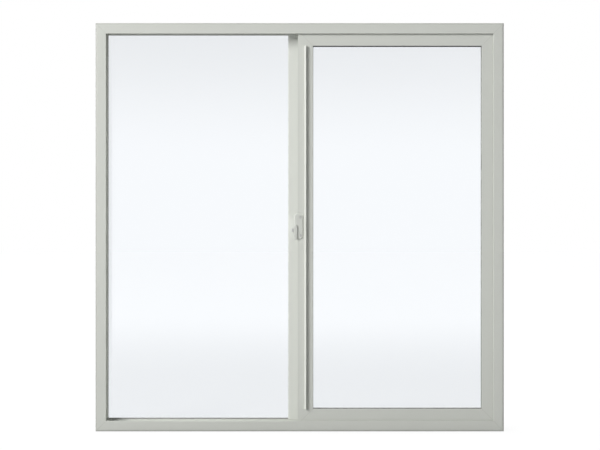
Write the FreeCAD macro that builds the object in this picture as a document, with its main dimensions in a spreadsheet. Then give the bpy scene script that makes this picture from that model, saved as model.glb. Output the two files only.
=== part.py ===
import FreeCAD, Part
import Sketcher
import os
import re

# Horizontal sliding window, seen from the room: a fixed light on the left and a sliding sash on the right.
# +X points right, +Y points from the room to the outside, +Z points up.
# The origin is the middle of the sill's underside. All sizes are in millimetres.

SIZES = {
    # outer frame
    "frame_width": 1206,
    "frame_height": 1206,
    "frame_wall": 2,
    "base_height": 14,
    "leg_height": 31,
    "front_leg": 2.5,
    "centre_leg": 4,
    "centre_leg_drop": 2.8,
    "glazing_channel": 33.5,
    "outer_lip": 4,
    "lip_height": 22,
    "edge_radius": 1.2,
    "hole_radius": 2.6,
    "hole_end_distance": 200,
    # mullion that the sash closes against
    "mullion_left": 35,
    "mullion_width": 50,
    "mullion_wall": 2.5,
    # sliding sash
    "sash_section": 45,
    "sash_thickness": 28,
    "sash_wall": 2.5,
    "sash_gap": 5,
    "sash_overlap": 5.6,
    "sash_side_gap": 5.5,
    "sash_bottom_gap": 6.3,
    "sash_top_gap": 7.2,
    "open_margin": 73.4,
    "roller_channel": 16,
    "rebate_width": 11,
    "room_leg": 3,
    # rail that the fingers pull, standing on the meeting stile's face
    "pull_inset": 19.4,
    "pull_width": 5.5,
    "pull_height": 9.8,
    "pull_tip": 1.2,
    "pull_edge": 0.5,
    # glass units, gaskets and beads
    "pane_thickness": 3,
    "pane_space": 6,
    "sash_edge_gap": 3,
    "fixed_edge_gap": 6,
    "inner_gasket": 1.5,
    "outer_gasket": 1,
    "gasket_show": 0.3,
    "gasket_corner": 5,
    "spacer_inset": 2,
    "sash_spacer_drop": 0,
    "fixed_spacer_drop": 2,
    "bead_wall": 1.5,
    "sash_bead_width": 10,
    "block_length": 100,
    "block_place": 0.25,
    # rollers, rail, stop, seals and weep covers
    "rail_thickness": 3,
    "rail_height": 3.5,
    "wheel_radius": 8.5,
    "wheel_width": 5,
    "wheel_running_gap": 0.3,
    "axle_radius": 2,
    "axle_clearance": 0.05,
    "housing_length": 60,
    "housing_side_gap": 1.5,
    "housing_slot": 7,
    "slot_end_gap": 1,
    "roller_inset": 60,
    "stop_width": 10,
    "stop_height": 10,
    "stop_gap": 5,
    "pile_gap": 0.5,
    "pile_width": 6,
    "pile_inset": 1,
    "weep_length": 40,
    "weep_height": 8,
    "weep_thickness": 2,
    "weep_inset": 200,
    # latch
    "latch_width": 27,
    "latch_height": 77,
    "latch_overhang": 11.4,
    "latch_thickness": 3.5,
    "latch_side_depth": 27,
    "latch_corner": 8,
    "latch_edge": 2.5,
    "latch_centre_height": 605,
    "pivot_inset": 5,
    "shaft_radius": 3,
    "shaft_clearance": 0.05,
    "lever_width": 12,
    "lever_drop": 38,
    "lever_thickness": 4,
    "lever_corner": 5.5,
    "lever_gap": 0.5,
    "cam_reach": 15,
    "cam_width": 8,
    "cam_thickness": 3,
    "cam_gap": 0.7,
    "keeper_width": 5,
    "keeper_height": 10,
    "keeper_thickness": 3,
    "keeper_gap": 3,
    "screw_head_radius": 3.5,
    "screw_head_depth": 2,
    "screw_radius": 2,
    "screw_spacing": 54,
}

# Depth of each plane behind the room-side face, as expressions of the sizes above.
DEPTH = "(front_leg + sash_thickness + 2 * sash_gap + centre_leg + glazing_channel + outer_lip)"
FRONT = f"(0 - {DEPTH} / 2)"
SASH_FRONT = f"({FRONT} + front_leg + sash_gap)"
SASH_REAR = f"({SASH_FRONT} + sash_thickness)"
CENTRE_LEG = f"({SASH_REAR} + sash_gap)"
CHANNEL = f"({CENTRE_LEG} + centre_leg)"
LIP = f"({CHANNEL} + glazing_channel)"
UNIT = "(2 * pane_thickness + pane_space)"
FIXED_GLASS = f"({CHANNEL} + inner_gasket)"
FIXED_BEAD = f"({FIXED_GLASS} + {UNIT} + outer_gasket)"
SASH_GLASS = f"({SASH_FRONT} + room_leg + inner_gasket)"
SASH_BEAD = f"({SASH_GLASS} + {UNIT} + outer_gasket)"
TRACK = f"({SASH_FRONT} + sash_thickness / 2)"

# Edges of the sash, and of the two glazing rebates, across the window.
SASH_LEFT = "(0 - sash_overlap)"
SASH_RIGHT = "(frame_width / 2 - base_height - sash_side_gap)"
SASH_BOTTOM = "(base_height + sash_bottom_gap)"
SASH_TOP = "(frame_height - base_height - sash_top_gap)"
CENTRE_TOP = "(leg_height - centre_leg_drop)"
ENGAGE = "(leg_height - base_height)"
FIXED_LEFT = "(base_height - frame_width / 2)"
FIXED_RIGHT = f"({ENGAGE} - mullion_left)"
FIXED_BOTTOM = "base_height"
FIXED_TOP = "(frame_height - base_height)"
SASH_BASE = "(sash_section - rebate_width)"

# Latch pivot, in front of the mullion just left of the sash.
LATCH_LEFT = f"({SASH_LEFT} - latch_overhang)"
LATCH_FRONT = f"({SASH_FRONT} - latch_thickness)"
PIVOT_X = f"({LATCH_LEFT} + pivot_inset)"
LEVER_FRONT = f"({LATCH_FRONT} - lever_gap - lever_thickness)"
CAM_FRONT = f"({CENTRE_LEG} - cam_gap - cam_thickness)"

SIDES = ("bottom", "top", "left", "right")

doc = FreeCAD.newDocument("sliding_window")
sheet = doc.addObject("Spreadsheet::Sheet", "Sizes")
for row, (alias, value) in enumerate(SIZES.items(), start=1):
    sheet.set(f"A{row}", alias)
    sheet.set(f"B{row}", str(value))
    sheet.setAlias(f"B{row}", alias)
doc.recompute()

nodes = []


def cells(text):
    """The expression with each size name pointing at its cell."""
    return re.sub(r"[a-z_]+", lambda word: f"Sizes.{word.group()}" if word.group() in SIZES else word.group(), text)


def number(text):
    """The expression's present value."""
    return float(sheet.evalExpression(cells(text)))


def bind(item, **expressions):
    for name, text in expressions.items():
        item.setExpression(name, cells(text))


def place(item, x, y, z, axis=(0, 0, 1), angle=0):
    """Stand an object at a place worked out from the sizes, turned about one axis."""
    item.Placement = FreeCAD.Placement(FreeCAD.Vector(0, 0, 0), FreeCAD.Rotation(FreeCAD.Vector(*axis), angle))
    for name, text in zip("xyz", (x, y, z)):
        item.setExpression(f"Placement.Base.{name}", cells(text))


def keep(item, label):
    """Name a finished sub-part and keep it for export."""
    item.Label = label
    nodes.append(item)
    return item


def new_sketch(body, name, role):
    plane = next(item for item in body.Origin.OriginFeatures if item.Role == role)
    sketch = body.newObject("Sketcher::SketchObject", name)
    sketch.AttachmentSupport = (plane, [""])
    sketch.MapMode = "FlatFace"
    return sketch


def constrain(sketch, text, *parts):
    """Add one driving dimension bound to an expression."""
    index = sketch.addConstraint(Sketcher.Constraint(*parts, number(text)))
    name = f"size_{index}"
    sketch.renameConstraint(index, name)
    sketch.setExpression(f"Constraints.{name}", cells(text))


def draw_outline(sketch, corners):
    """Draw a closed outline; each corner is (x, y) or, where two square edges meet round, (x, y, radius)."""
    count = len(corners)
    first = sketch.GeometryCount
    points = [FreeCAD.Vector(number(corner[0]), number(corner[1]), 0) for corner in corners]
    radii = [number(corner[2]) if len(corner) > 2 else 0 for corner in corners]
    ways = [(points[(i + 1) % count] - points[i]).normalize() for i in range(count)]
    for i in range(count):
        after = (i + 1) % count
        start = points[i] + ways[i] * radii[i]
        end = points[after] - ways[i] * radii[after]
        sketch.addGeometry(Part.LineSegment(start, end), False)
    for i in range(count):
        line = first + i
        before = first + (i - 1) % count
        if len(corners[i]) == 2:
            sketch.addConstraint(Sketcher.Constraint("Coincident", before, 2, line, 1))
            constrain(sketch, corners[i][0], "DistanceX", -1, 1, line, 1)
            constrain(sketch, corners[i][1], "DistanceY", -1, 1, line, 1)
        else:
            draw_corner(sketch, before, line, points[i], ways[i - 1], ways[i], corners[i][2])
        after = corners[(i + 1) % count]
        if len(corners[i]) == 2 and len(after) == 2:
            continue
        level = abs(ways[i].x) > abs(ways[i].y)
        sketch.addConstraint(Sketcher.Constraint("Horizontal" if level else "Vertical", line))
        if len(corners[i]) > 2 and len(after) > 2:
            way, text = ("DistanceY", corners[i][1]) if level else ("DistanceX", corners[i][0])
            constrain(sketch, text, way, -1, 1, line, 1)


def draw_corner(sketch, before, line, point, way_in, way_out, radius_text):
    """Round one corner with an arc that is tangent to both of its edges."""
    radius = number(radius_text)
    centre = point + (way_out - way_in) * radius
    left_turn = way_in.cross(way_out).z > 0
    start = point - way_in * radius - centre
    end = point + way_out * radius - centre
    if not left_turn:
        start, end = end, start
    axis = FreeCAD.Vector(1, 0, 0)
    angles = []
    for spoke in (start, end):
        angle = axis.getAngle(spoke)
        angles.append(angle if spoke.y >= 0 else -angle)
    circle = Part.Circle(centre, FreeCAD.Vector(0, 0, 1), radius)
    arc = sketch.addGeometry(Part.ArcOfCircle(circle, angles[0], angles[1]), False)
    near, far = (1, 2) if left_turn else (2, 1)
    sketch.addConstraint(Sketcher.Constraint("Tangent", before, 2, arc, near))
    sketch.addConstraint(Sketcher.Constraint("Tangent", arc, far, line, 1))
    constrain(sketch, radius_text, "Radius", arc)


def draw_circle(sketch, x, y, radius):
    circle = Part.Circle(FreeCAD.Vector(number(x), number(y), 0), FreeCAD.Vector(0, 0, 1), number(radius))
    index = sketch.addGeometry(circle, False)
    constrain(sketch, x, "DistanceX", -1, 1, index, 3)
    constrain(sketch, y, "DistanceY", -1, 1, index, 3)
    constrain(sketch, radius, "Radius", index)


def oblong(x0, y0, x1, y1, radius=None):
    """The four corners of a rectangle, rounded where a radius is given."""
    tail = (radius,) if radius else ()
    return [(x, y) + tail for x, y in ((x0, y0), (x1, y0), (x1, y1), (x0, y1))]


def pad(body, sketch, length, reverse=False):
    feature = body.newObject("PartDesign::Pad", "Pad")
    feature.Profile = sketch
    bind(feature, Length=length)
    feature.Reversed = reverse
    doc.recompute()
    return feature


def cut_through(body, sketch):
    """Cut a sketch through the whole body, both ways from its plane."""
    before = body.Shape.Volume
    feature = body.newObject("PartDesign::Pocket", "Cut")
    feature.Profile = sketch
    feature.SideType = "Symmetric"
    feature.Type = "ThroughAll"
    doc.recompute()
    if body.Shape.Volume >= before:
        raise RuntimeError(f"{body.Name}: a cut removed nothing")
    return feature


def extrusion(name, outline, chambers, length, mitre=None):
    """A hollow bar along +X with its section in Y and Z; a mitre cuts both ends back at 45 degrees."""
    body = doc.addObject("PartDesign::Body", name)
    section = new_sketch(body, "Section", "YZ_Plane")
    draw_outline(section, outline)
    for chamber in chambers:
        draw_outline(section, oblong(*chamber))
    pad(body, section, length)
    if mitre:
        ends = new_sketch(body, "Mitres", "XZ_Plane")
        draw_outline(ends, [("0", "0"), (mitre, mitre), ("0", mitre)])
        draw_outline(ends, [(length, "0"), (length, mitre), (f"{length} - {mitre}", mitre)])
        cut_through(body, ends)
    return body


def mitred_bar(label, side, bounds, y, section, mitre):
    """One side of an opening: a mitred bar whose section grows inward from the opening's edge."""
    left, right, bottom, top = bounds
    width = f"({right} - {left})"
    height = f"({top} - {bottom})"
    length, x, z, angle = {
        "bottom": (width, left, bottom, 0),
        "top": (width, right, top, 180),
        "left": (height, left, top, 90),
        "right": (height, right, bottom, -90),
    }[side]
    body = extrusion(label, *section, length, mitre)
    place(body, x, y, z, (0, 1, 0), angle)
    return keep(body, label)


def mitred_ring(names, bounds, y, section, mitre):
    """Four mitred bars of one section round an opening."""
    return {side: mitred_bar(label, side, bounds, y, section, mitre) for side, label in names.items()}


def flat_ring(label, bounds, y, width, thickness, corner=None):
    """A flat four-sided ring, such as a gasket or a spacer, with a rounded opening where a corner is given."""
    left, right, bottom, top = bounds
    across = f"({right} - {left})"
    up = f"({top} - {bottom})"
    body = doc.addObject("PartDesign::Body", label)
    sketch = new_sketch(body, "Ring", "XZ_Plane")
    draw_outline(sketch, oblong("0", "0", across, up))
    draw_outline(sketch, oblong(width, width, f"{across} - {width}", f"{up} - {width}", corner))
    pad(body, sketch, thickness, reverse=True)
    place(body, left, y, bottom)
    return keep(body, label)


def box(name, x0, y0, z0, x1, y1, z1):
    item = doc.addObject("Part::Box", name)
    bind(item, Length=f"{x1} - {x0}", Width=f"{y1} - {y0}", Height=f"{z1} - {z0}")
    place(item, x0, y0, z0)
    return item


def group(label, items):
    """Like pieces of one body that don't touch, kept as one sub-part."""
    compound = doc.addObject("Part::Compound", label)
    compound.Links = items
    return keep(compound, label)


def build_frame():
    outline = [
        ("0", "0", "edge_radius"),
        (DEPTH, "0"),
        (DEPTH, "lip_height"),
        (f"{DEPTH} - outer_lip", "lip_height"),
        (f"{DEPTH} - outer_lip", "base_height"),
        (f"{CHANNEL} - {FRONT}", "base_height"),
        (f"{CHANNEL} - {FRONT}", CENTRE_TOP),
        (f"{CENTRE_LEG} - {FRONT}", CENTRE_TOP),
        (f"{CENTRE_LEG} - {FRONT}", "base_height"),
        ("front_leg", "base_height"),
        ("front_leg", "leg_height"),
        ("0", "leg_height", "edge_radius"),
    ]
    ceiling = "base_height - frame_wall"
    chambers = [
        ("front_leg", "frame_wall", f"{CENTRE_LEG} - {FRONT}", ceiling),
        (f"{CHANNEL} - {FRONT}", "frame_wall", f"{DEPTH} - frame_wall", ceiling),
    ]
    names = {
        "bottom": "frame_sill",
        "top": "frame_head",
        "left": "frame_jamb_left",
        "right": "frame_jamb_right",
    }
    bounds = ("(0 - frame_width / 2)", "(frame_width / 2)", "0", "frame_height")
    ring = mitred_ring(names, bounds, FRONT, (outline, chambers), "leg_height")
    for side in ("left", "right"):
        holes = new_sketch(ring[side], "Screw_holes", "XY_Plane")
        draw_circle(holes, "hole_end_distance", f"{TRACK} - {FRONT}", "hole_radius")
        draw_circle(holes, "frame_height - hole_end_distance", f"{TRACK} - {FRONT}", "hole_radius")
        cut_through(ring[side], holes)


def build_mullion():
    depth = f"({LIP} - {CENTRE_LEG})"
    length = f"({FIXED_TOP} - {FIXED_BOTTOM})"
    body = doc.addObject("PartDesign::Body", "Mullion")
    section = new_sketch(body, "Section", "XY_Plane")
    draw_outline(section, [
        ("0", "0", "edge_radius"),
        ("mullion_width", "0", "edge_radius"),
        ("mullion_width", depth),
        (ENGAGE, depth),
        (ENGAGE, "centre_leg"),
        ("0", "centre_leg"),
    ])
    draw_outline(section, oblong(
        f"{ENGAGE} + mullion_wall", "mullion_wall", "mullion_width - mullion_wall", f"{depth} - mullion_wall"))
    pad(body, section, length)
    notches = new_sketch(body, "Notches", "YZ_Plane")
    rise = f"({CENTRE_TOP} - base_height)"
    draw_outline(notches, oblong("0", "0", "centre_leg", rise))
    draw_outline(notches, oblong("0", f"{length} - {rise}", "centre_leg", length))
    cut_through(body, notches)
    place(body, "0 - mullion_left", CENTRE_LEG, FIXED_BOTTOM)
    keep(body, "mullion")


def build_glazing(prefix, bounds, y, visible):
    """Two panes, their spacer, the two gaskets and the setting blocks of one glass unit."""
    left, right, bottom, top = bounds
    gap = prefix + "_edge_gap"
    edge = (f"({left} + {gap})", f"({right} - {gap})", f"({bottom} + {gap})", f"({top} - {gap})")
    x0, x1, z0, z1 = edge
    second = f"({y} + pane_thickness + pane_space)"
    inner = box(prefix + "_inner_pane", x0, y, z0, x1, f"({y} + pane_thickness)", z1)
    keep(inner, prefix + "_glass_inner")
    outer = box(prefix + "_outer_pane", x0, second, z0, x1, f"({second} + pane_thickness)", z1)
    keep(outer, prefix + "_glass_outer")
    inset = "spacer_inset"
    rim = (f"({x0} + {inset})", f"({x1} - {inset})", f"({z0} + {inset})", f"({z1} - {inset})")
    spacer_width = f"({visible} - {gap} - {inset} - {prefix}_spacer_drop)"
    flat_ring(prefix + "_spacer", rim, f"({y} + pane_thickness)", spacer_width, "pane_space")
    show = f"({visible} - {gap} + gasket_show)"
    flat_ring(prefix + "_gasket_inner", edge, f"({y} - inner_gasket)", show, "inner_gasket", "gasket_corner")
    outside = f"({y} + {UNIT})"
    flat_ring(prefix + "_gasket_outer", edge, outside, f"({visible} - {gap})", "outer_gasket", "gasket_corner")
    blocks = []
    for part in ("block_place", "(1 - block_place)"):
        centre = f"({x0} + {part} * ({x1} - {x0}))"
        start = f"({centre} - block_length / 2)"
        end = f"({centre} + block_length / 2)"
        blocks.append(box(prefix + "_block", start, y, bottom, end, f"({y} + {UNIT})", z0))
    group(prefix + "_setting_blocks", blocks)


def build_fixed_light():
    bounds = (FIXED_LEFT, FIXED_RIGHT, FIXED_BOTTOM, FIXED_TOP)
    build_glazing("fixed", bounds, FIXED_GLASS, ENGAGE)
    depth = f"({LIP} - {FIXED_BEAD})"
    outline = oblong("0", "0", depth, ENGAGE)
    chamber = ("bead_wall", "bead_wall", f"{depth} - bead_wall", f"{ENGAGE} - bead_wall")
    names = {side: f"fixed_bead_{side}" for side in SIDES}
    mitred_ring(names, bounds, FIXED_BEAD, (outline, [chamber]), ENGAGE)


def build_sash():
    back = "(sash_thickness - sash_wall)"
    rail = [
        ("0", "0"),
        ("sash_wall", "0"),
        ("sash_wall", "roller_channel"),
        (back, "roller_channel"),
        (back, "0"),
        ("sash_thickness", "0"),
        ("sash_thickness", SASH_BASE),
        ("room_leg", SASH_BASE),
        ("room_leg", "sash_section"),
        ("0", "sash_section", "edge_radius"),
    ]
    rail_chambers = [("sash_wall", "roller_channel + sash_wall", back, f"{SASH_BASE} - sash_wall")]
    bounds = (SASH_LEFT, SASH_RIGHT, SASH_BOTTOM, SASH_TOP)
    names = {
        "bottom": "sash_bottom_rail",
        "top": "sash_top_rail",
        "left": "sash_meeting_stile",
        "right": "sash_jamb_stile",
    }
    mitred_ring(names, bounds, SASH_FRONT, (rail, rail_chambers), "sash_section")
    rebate_bounds = (
        f"({SASH_LEFT} + {SASH_BASE})",
        f"({SASH_RIGHT} - {SASH_BASE})",
        f"({SASH_BOTTOM} + {SASH_BASE})",
        f"({SASH_TOP} - {SASH_BASE})",
    )
    build_glazing("sash", rebate_bounds, SASH_GLASS, "rebate_width")
    depth = f"({SASH_REAR} - {SASH_BEAD})"
    bead = oblong("0", "0", depth, "sash_bead_width")
    bead_chamber = ("bead_wall", "bead_wall", f"{depth} - bead_wall", "sash_bead_width - bead_wall")
    bead_names = {side: f"sash_bead_{side}" for side in SIDES}
    mitred_ring(bead_names, rebate_bounds, SASH_BEAD, (bead, [bead_chamber]), "sash_bead_width")


def build_pull_rail():
    """A rail on the meeting stile's face, between the sash's rails: it slopes up from the left and drops square on
    the right, where the fingers take hold."""
    outline = [
        ("pull_height", "0"),
        ("pull_height", "pull_width"),
        ("0", "pull_width", "pull_edge"),
        ("0", "pull_width - pull_tip"),
    ]
    top = f"({SASH_TOP} - sash_section)"
    length = f"({top} - {SASH_BOTTOM} - sash_section)"
    body = extrusion("Pull_rail", outline, [], length)
    place(body, f"{SASH_LEFT} + pull_inset", f"{SASH_FRONT} - pull_height", top, (0, 1, 0), 90)
    keep(body, "sash_pull_rail")


def build_rollers():
    """Two roller units in the channel under the sash's bottom rail, running on the sill's rail."""
    width = "(sash_thickness - 2 * sash_wall - 2 * housing_side_gap)"
    wheel_centre = "(base_height + rail_height + wheel_running_gap + wheel_radius)"
    ceiling = f"({SASH_BOTTOM} + roller_channel)"
    top = f"({ceiling} - {SASH_BOTTOM})"
    axle_x = "(housing_length / 2)"
    axle_z = f"({wheel_centre} - {SASH_BOTTOM})"
    starts = {
        "left": f"({SASH_LEFT} + roller_inset)",
        "right": f"({SASH_RIGHT} - roller_inset - housing_length)",
    }
    for side, start in starts.items():
        body = doc.addObject("PartDesign::Body", "Housing_" + side)
        section = new_sketch(body, "Section", "XY_Plane")
        draw_outline(section, oblong("0", "0", "housing_length", width))
        slot = (f"({axle_x} - wheel_radius - slot_end_gap)", f"({width} - housing_slot) / 2")
        far = (f"({axle_x} + wheel_radius + slot_end_gap)", f"({width} + housing_slot) / 2")
        draw_outline(section, oblong(*slot, *far))
        pad(body, section, top)
        hole = new_sketch(body, "Axle_hole", "XZ_Plane")
        draw_circle(hole, axle_x, axle_z, "axle_radius + axle_clearance")
        cut_through(body, hole)
        place(body, start, f"{TRACK} - {width} / 2", SASH_BOTTOM)
        keep(body, f"roller_housing_{side}")
        wheel = doc.addObject("PartDesign::Body", "Wheel_" + side)
        tread = new_sketch(wheel, "Tread", "XZ_Plane")
        draw_circle(tread, "wheel_radius", "wheel_radius", "wheel_radius")
        pad(wheel, tread, "wheel_width").SideType = "Symmetric"
        axle = new_sketch(wheel, "Axle", "XZ_Plane")
        draw_circle(axle, "wheel_radius", "wheel_radius", "axle_radius")
        pad(wheel, axle, width).SideType = "Symmetric"
        place(wheel, f"{start} + {axle_x} - wheel_radius", TRACK, f"{wheel_centre} - wheel_radius")
        keep(wheel, f"roller_wheel_{side}")


def build_track_parts():
    """The sill's rail, the travel stop, the pile seals and the weep covers."""
    rail_left = f"({TRACK} - rail_thickness / 2)"
    rail = box(
        "Rail", FIXED_LEFT, rail_left, "base_height",
        "(frame_width / 2 - base_height)", f"({rail_left} + rail_thickness)", "(base_height + rail_height)")
    keep(rail, "sill_roller_rail")
    stop_end = f"({FIXED_LEFT} + open_margin - stop_gap)"
    stop = box(
        "Stop", FIXED_LEFT, f"({SASH_REAR} - stop_width)", "base_height",
        stop_end, SASH_REAR, "(base_height + stop_height)")
    keep(stop, "sash_stop")
    seal = box(
        "Pile", "(mullion_width - mullion_left - frame_wall - pile_width)", f"({SASH_REAR} + pile_gap)", "leg_height",
        "(mullion_width - mullion_left - frame_wall)", CENTRE_LEG, "(frame_height - leg_height)")
    keep(seal, "frame_pile_seal")
    build_sash_seals()
    covers = []
    middle = "(base_height / 2)"
    outer = f"({FRONT} + {DEPTH})"
    for start in ("(weep_inset - frame_width / 2)", "(frame_width / 2 - weep_inset - weep_length)"):
        covers.append(box(
            "Weep", start, outer, f"({middle} - weep_height / 2)",
            f"({start} + weep_length)", f"({outer} + weep_thickness)", f"({middle} + weep_height / 2)"))
    group("weep_covers", covers)


def build_sash_seals():
    """Pile seals on the back of the sash, facing the frame's centre legs at the sill, the head and the right jamb."""
    back = f"({CENTRE_LEG} - pile_gap)"
    near = f"({CENTRE_TOP} - pile_inset - pile_width)"
    far = f"({CENTRE_TOP} - pile_inset)"
    left = f"({SASH_LEFT} + mullion_width)"
    right = f"(frame_width / 2 - {far})"
    runs = [
        (left, near, right, far),
        (left, f"(frame_height - {far})", right, f"(frame_height - {near})"),
        (right, "leg_height", f"(frame_width / 2 - {near})", "(frame_height - leg_height)"),
    ]
    group("sash_pile_seals", [box("Sash_pile", x0, SASH_REAR, z0, x1, back, z1) for x0, z0, x1, z1 in runs])


def build_latch():
    pivot = ("pivot_inset", "latch_height / 2")
    body = doc.addObject("PartDesign::Body", "Latch_base")
    plate = new_sketch(body, "Plate", "XZ_Plane")
    draw_outline(plate, oblong("0", "0", "latch_width", "latch_height", "latch_corner"))
    base = pad(body, plate, "latch_thickness", reverse=True)
    front = min(range(len(base.Shape.Faces)), key=lambda i: base.Shape.Faces[i].CenterOfMass.y)
    rounded = body.newObject("PartDesign::Fillet", "Rounded_edge")
    rounded.Base = (base, [f"Face{front + 1}"])
    bind(rounded, Radius="latch_edge")
    doc.recompute()
    side = new_sketch(body, "Side", "XZ_Plane")
    draw_outline(side, oblong("0", "latch_corner", "latch_overhang", "latch_height - latch_corner"))
    bind(side, **{"AttachmentOffset.Base.z": "0 - latch_thickness"})
    pad(body, side, "latch_side_depth", reverse=True)
    holes = new_sketch(body, "Holes", "XZ_Plane")
    draw_circle(holes, *pivot, "shaft_radius + shaft_clearance")
    screw_x = "((latch_width + latch_overhang) / 2)"
    heights = [f"(latch_height / 2 {sign} screw_spacing / 2)" for sign in "-+"]
    for height in heights:
        draw_circle(holes, screw_x, height, "screw_radius")
    cut_through(body, holes)
    sinks = new_sketch(body, "Countersinks", "XZ_Plane")
    for height in heights:
        draw_circle(sinks, screw_x, height, "screw_head_radius")
    before = body.Shape.Volume
    sink = body.newObject("PartDesign::Pocket", "Sinks")
    sink.Profile = sinks
    bind(sink, Length="screw_head_depth")
    sink.Reversed = False
    doc.recompute()
    if body.Shape.Volume >= before:
        raise RuntimeError("the latch's countersinks removed nothing")
    bottom = "(latch_centre_height - latch_height / 2)"
    place(body, LATCH_LEFT, LATCH_FRONT, bottom)
    keep(body, "latch_base")
    screws = []
    for height in heights:
        screw = doc.addObject("Part::Cylinder", "Screw")
        head = doc.addObject("Part::Cylinder", "Head")
        bind(screw, Radius="screw_radius", Height="latch_thickness")
        bind(head, Radius="screw_head_radius", Height="screw_head_depth")
        for item in (screw, head):
            place(item, f"{LATCH_LEFT} + {screw_x}", LATCH_FRONT, f"{bottom} + {height}", (1, 0, 0), -90)
        whole = doc.addObject("Part::Fuse", "Whole_screw")
        whole.Base = screw
        whole.Tool = head
        screws.append(whole)
    group("latch_screws", screws)


def build_lever():
    """The thumb lever with its shaft, the cam on the shaft's end and the keeper that the cam closes behind."""
    half = "(lever_width / 2)"
    body = doc.addObject("PartDesign::Body", "Lever")
    outline = new_sketch(body, "Outline", "XZ_Plane")
    draw_outline(outline, oblong("0", "0", "lever_width", f"lever_drop + {half}", "lever_corner"))
    pad(body, outline, "lever_thickness", reverse=True)
    shaft = new_sketch(body, "Shaft", "XZ_Plane")
    draw_circle(shaft, half, "lever_drop", "shaft_radius")
    pad(body, shaft, f"{CAM_FRONT} - {LEVER_FRONT}", reverse=True)
    place(body, f"{PIVOT_X} - {half}", LEVER_FRONT, "latch_centre_height - lever_drop")
    keep(body, "latch_lever")
    cam_back = f"({CAM_FRONT} + cam_thickness)"
    cam = box(
        "Cam", f"({PIVOT_X} - cam_width / 2)", CAM_FRONT, "(latch_centre_height - cam_width / 2)",
        f"({PIVOT_X} + cam_reach)", cam_back, "(latch_centre_height + cam_width / 2)")
    keep(cam, "latch_cam")
    keeper_right = f"({PIVOT_X} - cam_width / 2 - keeper_gap)"
    keeper_top = "(latch_centre_height - cam_width / 2 - keeper_gap)"
    keeper = box(
        "Keeper", f"({keeper_right} - keeper_width)", f"({CENTRE_LEG} - keeper_thickness)",
        f"({keeper_top} - keeper_height)", keeper_right, CENTRE_LEG, keeper_top)
    keep(keeper, "latch_keeper")


def check_document():
    """Stop on any failed feature or shape before a file is written."""
    doc.recompute()
    for item in doc.Objects:
        if "Invalid" in item.State or "Error" in item.State:
            raise RuntimeError(f"{item.Label} failed: {item.State}")
    for node in nodes:
        if node.Shape.isNull() or not node.Shape.isValid():
            raise RuntimeError(f"{node.Label} has no valid shape")


def export_nodes():
    os.makedirs("parts", exist_ok=True)
    for node in nodes:
        node.Shape.exportStep(f"parts/{node.Label}.step")


build_frame()
build_mullion()
build_fixed_light()
build_sash()
build_pull_rail()
build_rollers()
build_track_parts()
build_latch()
build_lever()
check_document()
export_nodes()
print(f"{len(nodes)} parts written")
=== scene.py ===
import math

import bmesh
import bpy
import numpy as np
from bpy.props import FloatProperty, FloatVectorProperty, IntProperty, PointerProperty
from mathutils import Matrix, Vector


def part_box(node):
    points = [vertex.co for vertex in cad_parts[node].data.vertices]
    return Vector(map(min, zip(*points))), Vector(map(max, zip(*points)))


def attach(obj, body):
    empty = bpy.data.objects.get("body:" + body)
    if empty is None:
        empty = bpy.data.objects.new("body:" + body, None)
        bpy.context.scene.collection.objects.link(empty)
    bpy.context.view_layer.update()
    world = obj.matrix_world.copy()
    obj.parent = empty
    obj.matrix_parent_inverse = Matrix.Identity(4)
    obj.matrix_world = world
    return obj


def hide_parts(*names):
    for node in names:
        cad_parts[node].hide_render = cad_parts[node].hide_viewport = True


bl_info = {
    "name": "Horizontal Sliding Window",
    "version": (1, 0, 0),
    "blender": (4, 5, 0),
    "location": "3D View > Sidebar > Window",
    "description": "Finishes, fittings and studio for a horizontal sliding window",
    "category": "Object",
}

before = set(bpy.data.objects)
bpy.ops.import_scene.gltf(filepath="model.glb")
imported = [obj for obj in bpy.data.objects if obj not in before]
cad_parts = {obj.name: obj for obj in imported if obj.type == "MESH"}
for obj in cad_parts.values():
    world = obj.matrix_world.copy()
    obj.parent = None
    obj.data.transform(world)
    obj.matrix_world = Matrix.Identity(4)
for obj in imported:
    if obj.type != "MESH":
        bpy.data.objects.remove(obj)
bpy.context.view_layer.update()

FRAME_LEVEL = ("frame_head", "frame_sill")
FRAME_UPRIGHT = ("frame_jamb_left", "frame_jamb_right")
SASH_LEVEL = ("sash_top_rail", "sash_bottom_rail")
SASH_UPRIGHT = ("sash_meeting_stile", "sash_jamb_stile")
SIDES = ("bottom", "top", "left", "right")
PANES = ("fixed_glass_inner", "fixed_glass_outer", "sash_glass_inner", "sash_glass_outer")
MM = 0.001

# Faces that meet at a sharper angle than this keep a hard edge.
SHARP_ANGLE = math.radians(32)

# How densely a bar's drawn lines follow each other along X, Y and Z. They run along the bar.
LEVEL_GRAIN = (3, 500, 500)
UPRIGHT_GRAIN = (500, 500, 3)

# Widths of the weld at a mitre, of the joint between beads, and of the rim that is rounded and darkened
# with painted shade. Only the outer frame has such a rim.
WELD_WIDTH = 0.7 * MM
BEAD_JOINT = 0.4 * MM
FRAME_SHADED_RIM = 4.8 * MM
NO_SHADED_RIM = 0.1 * MM

# Refraction of vinyl and of glass.
REFRACTION = 1.5


# Settings

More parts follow.
